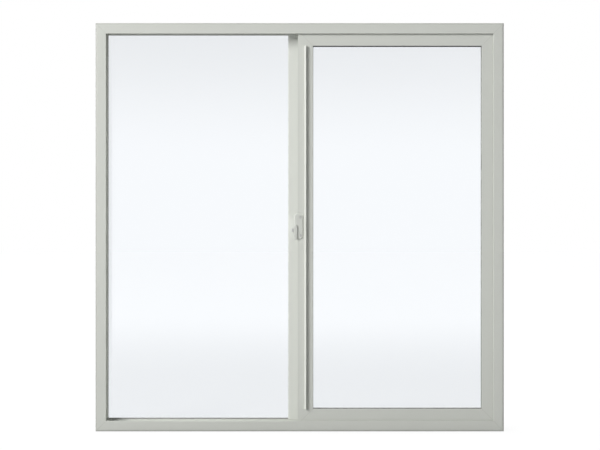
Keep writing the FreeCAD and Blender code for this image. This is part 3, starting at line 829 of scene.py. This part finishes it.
class WINDOW_OT_weeps(bpy.types.Operator):
    """Shape the weep covers on the outside of the sill"""

    bl_idname = "window.weeps"
    bl_label = "Weep covers"

    def execute(self, context):
        corner = 2.5 * MM
        edge = 0.9 * MM
        steps = context.scene.window_detail.ring_steps
        finish = context.scene.window_finish
        vinyl = plain_material("moulded_cover", finish.vinyl, finish.vinyl_roughness, variation=0.02)
        covers = []
        for low, high in solid_bounds("weep_covers", 2):
            middle = (low + high) / 2
            outline, outward = rounded_rectangle(high[0] - low[0], high[2] - low[2], corner, steps)
            cover = pillow(outline, outward, high[1] - low[1], 0.0, -edge, 0.0, steps)
            covers.append(shifted(cover, middle[0], low[1], middle[2]))
        make_piece("weep_cover_pair", covers, vinyl, "frame", "weep_covers")
        return {"FINISHED"}


class WINDOW_OT_latch(bpy.types.Operator):
    """Shape the latch body, its thumb lever and its screws, and finish the cam and keeper"""

    bl_idname = "window.latch"
    bl_label = "Latch"

    def execute(self, context):
        finish = context.scene.window_finish
        detail = context.scene.window_detail
        paint = plain_material("latch_paint", finish.vinyl, 0.32, variation=0.015, grain=700)
        zinc = plain_material("zinc", finish.metal, 0.3, metallic=1.0)
        screws = [self.screw(low, high, detail.ring_steps) for low, high in solid_bounds("latch_screws", 2)]
        make_piece("latch_body", self.body(detail), paint, "sash", "latch_base")
        lever = self.lever(detail)
        make_piece("latch_thumb_lever", lever, paint, "latch_lever", "latch_lever")
        make_piece("latch_screw_heads", screws, zinc, "sash", "latch_screws")
        dress(("latch_cam", "latch_keeper"), zinc)
        return {"FINISHED"}

    @staticmethod
    def body(detail):
        """A plate with a soft front on the stile's face, and a plain block that laps round the stile's
        edge."""
        side_inset = 0.7 * MM
        overlap = 0.5 * MM
        low, high = outline_box("latch_base")
        middle = (low + high) / 2
        stile = outline_box("sash_meeting_stile")[0]
        outline, outward = rounded_rectangle(
            high[0] - low[0], high[2] - low[2], detail.latch_corner, detail.ring_steps)
        plate = pillow(
            outline, outward, low[1] + detail.latch_crown, stile[1], detail.latch_edge, detail.latch_crown,
            detail.ring_steps)
        side_low = (low[0] + side_inset, stile[1] - overlap, low[2] + detail.latch_corner)
        side_high = (stile[0], high[1], high[2] - detail.latch_corner)
        return [shifted(plate, middle[0], 0, middle[2]), block(side_low, side_high)]

    @staticmethod
    def lever(detail):
        """A tapered paddle with soft edges, a round boss over its pivot, and the shaft behind it."""
        pivot_drop = 6 * MM
        play = 0.5 * MM
        paddle_edge = 1.4 * MM
        boss_rise = 0.9 * MM
        boss_margin = 1.3 * MM
        boss_root = 2 * MM
        shaft_radius = 3 * MM
        cap_points = 8
        steps = detail.ring_steps
        low, high = outline_box("latch_lever")
        back = outline_box("latch_base")[0][1] - play
        pivot_x = (low[0] + high[0]) / 2
        pivot_z = high[2] - pivot_drop
        length = pivot_z - low[2] - detail.lever_tip
        outline, outward = tapered_slot(detail.lever_top, detail.lever_tip, length, steps)
        paddle = pillow(outline, outward, low[1] + boss_rise, back, paddle_edge, 0.0, steps)
        boss_radius = detail.lever_top - boss_margin
        angle = np.linspace(0, math.pi / 2, cap_points)[:-1]
        cap = np.column_stack([boss_radius * np.cos(angle), low[1] + boss_rise - boss_rise * np.sin(angle)])
        boss = turned(np.concatenate([[(boss_radius, low[1] + boss_root)], cap]), steps)
        shaft = turned(np.array([(shaft_radius, back), (shaft_radius, high[1])]), steps)
        return [shifted(part, pivot_x, 0, pivot_z) for part in (paddle, boss, shaft)]

    @staticmethod
    def screw(low, high, steps):
        """A low round head: the face falls as a shallow dome, and a cross is sunk into it where the
        distance to either axis is under half an arm's width."""
        arm_half = 0.5 * MM
        cross_reach = 2.0 * MM
        cross_depth = 0.9 * MM
        dome_rise = 0.35 * MM
        skirt_depth = 1.5 * MM
        innermost = 0.02
        middle = (low + high) / 2
        radius = (high[0] - low[0]) / 2
        ring = np.linspace(innermost, 1, 4 * steps)[:, None] * radius
        angle = np.linspace(0, 2 * math.pi, 12 * steps, endpoint=False)
        across = ring * np.cos(angle)
        up = ring * np.sin(angle)
        dome = np.broadcast_to(low[1] - dome_rise * (1 - (ring / radius) ** 2), across.shape)
        in_cross = (np.minimum(np.abs(across), np.abs(up)) < arm_half) & (ring < cross_reach)
        depth = np.where(in_cross, dome + cross_depth, dome)
        face = np.stack([across, depth, up], axis=-1)
        skirt = face[-1].copy()
        skirt[:, 1] = low[1] + skirt_depth
        head = capped(np.concatenate([face, skirt[None]]))
        return shifted(head, middle[0], 0, middle[2])


class WINDOW_OT_studio(bpy.types.Operator):
    """Set the floor, the lights and the camera"""

    bl_idname = "window.studio"
    bl_label = "Studio"

    def execute(self, context):
        scene = context.scene
        studio = scene.window_studio
        scene.view_settings.view_transform = "Standard"
        self.floor(scene, studio)
        self.sky(scene, studio)
        self.light(scene, "key_light", (-5.4, -5.1, 4.1), (0, 0, 0.6), 4.4, studio.key)
        fill = self.light(scene, "fill_light", (1.3, -1.5, 0.25), (0, 0, 0.1), 0.8, studio.fill)
        fill.visible_glossy = False
        self.camera(scene, studio)
        return {"FINISHED"}

    @staticmethod
    def camera(scene, studio):
        """Looks straight along +Y. The lens shift brings the view's middle to the picture's middle."""
        sensor_width = 36
        view_limit = 100
        camera = bpy.data.cameras.new("camera")
        camera.lens = studio.lens
        camera.sensor_width = sensor_width
        seen_width = studio.distance * sensor_width / studio.lens
        camera.shift_x = (studio.view_middle[0] - studio.aside) / seen_width
        camera.shift_y = (studio.view_middle[1] - studio.height) / seen_width
        camera.clip_end = view_limit
        item = bpy.data.objects.new("camera", camera)
        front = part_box("frame_head")[0][1]
        item.location = (studio.aside, front - studio.distance, studio.height)
        item.rotation_euler = (math.pi / 2, 0, 0)
        scene.collection.objects.link(item)
        scene.camera = item

    @staticmethod
    def light(scene, name, place, target, size, power):
        """A round lamp that points at its target. Neither the camera nor the glass shows it."""
        lamp = bpy.data.lights.new(name, "AREA")
        lamp.shape = "DISK"
        lamp.size = size
        lamp.energy = power
        item = bpy.data.objects.new(name, lamp)
        item.location = place
        item.rotation_euler = (Vector(target) - Vector(place)).to_track_quat("-Z", "Y").to_euler()
        item.visible_camera = False
        item.visible_transmission = False
        scene.collection.objects.link(item)
        return item

    @staticmethod
    def fade(tree, value, start, end, first, last):
        """A smooth step from the first level, where the value is at the start, to the last level at the
        end."""
        node = tree.nodes.new("ShaderNodeMapRange")
        node.interpolation_type = "SMOOTHSTEP"
        for label, number in (("From Min", start), ("From Max", end), ("To Min", first), ("To Max", last)):
            node.inputs[label].default_value = number
        tree.links.new(value, node.inputs["Value"])
        return node.outputs[0]

    @staticmethod
    def rays(tree):
        """Two masks: what the eye sees straight on or through glass, and what it sees in a reflection."""
        path = tree.nodes.new("ShaderNodeLightPath").outputs
        mirrored = maths(tree, "GREATER_THAN", path["Glossy Depth"], 0.5)
        straight = maths(tree, "MAXIMUM", path["Is Camera Ray"], path["Is Transmission Ray"])
        seen = maths(tree, "MULTIPLY", straight, maths(tree, "SUBTRACT", 1.0, mirrored))
        return seen, mirrored

    def floor(self, scene, studio):
        """White where it is seen, with a trace of shadow, and in reflections it darkens towards the
        window."""
        half = 12.0
        level = -MM
        grey = (0.3, 0.3, 0.3, 1)
        roughness = 0.9
        white_strength = 1.22
        white_share = 0.75
        mirrored_share = 0.85
        bright_until = -3.4
        dark_from = -0.8
        mesh = bpy.data.meshes.new("floor")
        corners = [(-half, -half, level), (half, -half, level), (half, half, level), (-half, half, level)]
        mesh.from_pydata(corners, [], [(0, 1, 2, 3)])
        material, tree, shader = new_material("pale_floor")
        shader.inputs["Base Color"].default_value = grey
        shader.inputs["Roughness"].default_value = roughness
        white = tree.nodes.new("ShaderNodeEmission")
        white.inputs["Strength"].default_value = white_strength
        seen, mirrored = self.rays(tree)
        place = split_place(tree, "Object")
        share = self.fade(tree, place["Y"], bright_until, dark_from, mirrored_share * studio.glow, 0.0)
        plain = maths(tree, "MULTIPLY", seen, white_share)
        part = maths(tree, "MAXIMUM", plain, maths(tree, "MULTIPLY", mirrored, share))
        shade = tree.nodes.new("ShaderNodeMixShader")
        for socket, output in zip(shade.inputs, (part, shader.outputs[0], white.outputs[0])):
            tree.links.new(output, socket)
        tree.links.new(shade.outputs[0], tree.nodes["Material Output"].inputs["Surface"])
        mesh.materials.append(material)
        item = bpy.data.objects.new("floor", mesh)
        scene.collection.objects.link(item)

    def sky(self, scene, studio):
        """White where it is seen. As light it is a dim room before the window and daylight outside. What
        gloss and glass reflect is brightest just below eye level and fades out above and below."""
        horizon = -0.018
        bright_until = 0.05
        dim_from = 0.175
        dim_share = 0.15
        slanting_until = 0.4
        slanting_share = 2.0
        straight_from = 0.8
        straight_share = 0.25
        daylight_tint = (0.97, 0.985, 1.0, 1)
        world = bpy.data.worlds.new("room")
        scene.world = world
        world.use_nodes = True
        tree = world.node_tree
        place = split_place(tree, "Generated")
        seen, mirrored = self.rays(tree)
        rise = maths(tree, "ABSOLUTE", maths(tree, "SUBTRACT", place["Z"], horizon))
        glow = self.fade(tree, rise, bright_until, dim_from, studio.glow, studio.glow * dim_share)
        daylight = self.fade(
            tree, place["Y"], slanting_until, straight_from, slanting_share * studio.outside,
            straight_share * studio.outside)
        outside = maths(tree, "GREATER_THAN", place["Y"], 0.0)
        spread = maths(tree, "ADD", maths(tree, "MULTIPLY", outside, daylight), studio.room)
        level = tree.nodes.new("ShaderNodeMix")
        for label, output in (("Factor", mirrored), ("A", spread), ("B", glow)):
            tree.links.new(output, level.inputs[label])
        room = tree.nodes["Background"]
        room.inputs["Color"].default_value = daylight_tint
        tree.links.new(level.outputs[0], room.inputs["Strength"])
        white = tree.nodes.new("ShaderNodeBackground")
        white.inputs["Color"].default_value = (1, 1, 1, 1)
        white.inputs["Strength"].default_value = 1.0
        mix = tree.nodes.new("ShaderNodeMixShader")
        for socket, output in zip(mix.inputs, (seen, room.outputs[0], white.outputs[0])):
            tree.links.new(output, socket)
        tree.links.new(mix.outputs[0], tree.nodes["World Output"].inputs["Surface"])


class WINDOW_PT_panel(bpy.types.Panel):
    """The window's steps and settings"""

    bl_idname = "WINDOW_PT_panel"
    bl_label = "Sliding Window"
    bl_space_type = "VIEW_3D"
    bl_region_type = "UI"
    bl_category = "Window"

    def draw(self, context):
        scene = context.scene
        for operator in OPERATORS:
            self.layout.operator(operator.bl_idname)
        for settings in (scene.window_finish, scene.window_detail, scene.window_studio):
            column = self.layout.column()
            for name in settings.__annotations__:
                column.prop(settings, name)


OPERATORS = (
    WINDOW_OT_studio,
    WINDOW_OT_extrusions,
    WINDOW_OT_beads,
    WINDOW_OT_glazing,
    WINDOW_OT_gaskets,
    WINDOW_OT_seals,
    WINDOW_OT_rollers,
    WINDOW_OT_weeps,
    WINDOW_OT_latch,
)
SETTINGS = {
    "window_finish": WindowFinish,
    "window_detail": WindowDetail,
    "window_studio": WindowStudio,
}


def register():
    for item in (*SETTINGS.values(), *OPERATORS, WINDOW_PT_panel):
        bpy.utils.register_class(item)
    for name, item in SETTINGS.items():
        setattr(bpy.types.Scene, name, PointerProperty(type=item))


def unregister():
    for name in SETTINGS:
        delattr(bpy.types.Scene, name)
    for item in (WINDOW_PT_panel, *reversed(OPERATORS), *reversed(SETTINGS.values())):
        bpy.utils.unregister_class(item)


def main():
    register()
    bpy.ops.window.studio()
    bpy.ops.window.extrusions()
    bpy.ops.window.beads()
    bpy.ops.window.glazing()
    bpy.ops.window.gaskets()
    bpy.ops.window.seals()
    bpy.ops.window.rollers()
    bpy.ops.window.weeps()
    bpy.ops.window.latch()


if __name__ == "__main__":
    main()
